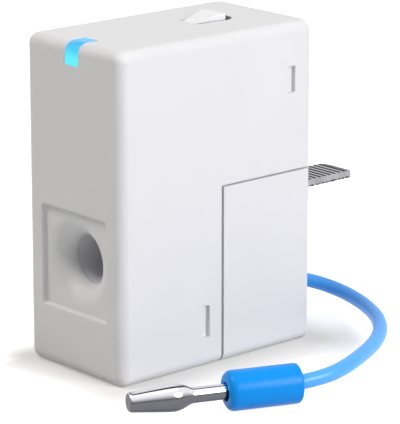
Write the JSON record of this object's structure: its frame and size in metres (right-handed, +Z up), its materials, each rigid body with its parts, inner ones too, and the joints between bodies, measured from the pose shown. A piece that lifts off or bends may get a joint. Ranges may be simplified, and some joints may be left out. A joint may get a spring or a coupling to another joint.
{
  "type": "smart energy monitor",
  "caption": "Narrow moulded meter with a feed-through hole, a serrated contact tongue at the back, a pairing button, a light pipe and a short blue lead with a pin plug.",
  "frame": {"origin": "centre of the flat underside of the housing", "axes": "+Z up; +X across the narrow front face; the front face, with the hole, looks along -Y and the contact tongue points along +Y"},
  "size_m": [0.0371, 0.0517, 0.0423],
  "materials": {
    "housing_white": "fine satin moulded surface",
    "button_white": "fine satin moulded surface",
    "sleeve_grey": "smooth moulded tube",
    "light_blue": "glowing translucent light pipe",
    "switch_black": "moulded",
    "plunger_grey": "moulded",
    "led_lens": "clear lens",
    "board_green": "solder mask",
    "board_blue": "solder mask",
    "chip_black": "moulded package",
    "varistor_coat": "dipped coating",
    "capacitor_can": "sleeved can",
    "ferrite": "sintered ferrite",
    "copper_wire": "enamelled copper wire",
    "copper_strip": "bare copper foil",
    "resistor_body": "lacquered body",
    "chip_ceramic": "fired ceramic",
    "tinned_pins": "tinned",
    "shield_tin": "tin-plated sheet",
    "transformer_black": "moulded",
    "core_iron": "wound strip core",
    "contact_steel": "serrated, nickel-plated",
    "wire_blue": "soft insulation",
    "clamp_metal": "crimped ring",
    "plug_blue": "moulded insulating grip",
    "pin_chrome": "turned and plated"
  },
  "bodies": {
    "housing": {"front_cover": "housing_white", "rear_base": "housing_white", "conductor_sleeve": "sleeve_grey", "light_pipe": "light_blue", "switch_body": "switch_black", "status_led": "led_lens", "main_board": "board_green", "metering_chip": "chip_black", "supply_chip": "chip_black", "rectifier": "chip_black", "varistor": "varistor_coat", "smoothing_capacitors": "capacitor_can", "choke_core": "ferrite", "choke_winding": "copper_wire", "fusible_resistor": "resistor_body", "chip_parts": "chip_ceramic", "radio_board": "board_blue", "header_block": "switch_black", "header_pins": "tinned_pins", "radio_shield": "shield_tin", "radio_chip": "chip_black", "antenna_strip": "copper_strip", "transformer_case": "transformer_black", "transformer_lid": "transformer_black", "transformer_core": "core_iron", "transformer_winding": "copper_wire", "transformer_leads": "tinned_pins", "contact_tongue": "contact_steel", "neutral_lead": "wire_blue", "wire_clamp": "clamp_metal", "neutral_wire": "wire_blue", "plug_sleeve": "plug_blue", "plug_pin": "pin_chrome"},
    "button": {"pairing_button": "button_white"},
    "plunger": {"switch_plunger": "plunger_grey"}
  },
  "joints": [
    {"name": "button_press", "type": "hinge", "parent": "housing", "child": "button", "pos_m": [0, 0.003, 0.041], "axis": [-1, 0, 0], "range_deg": [0, 3.77], "stiffness_Nm_per_rad": 0.02},
    {"name": "plunger_press", "type": "slide", "parent": "housing", "child": "plunger", "axis": [0, 0, -1], "range_m": [0, 0.00026]}
  ],
  "couplings": [
    {"joint": "plunger_press", "follows": "button_press", "m_per_rad": 0.0038}
  ]
}
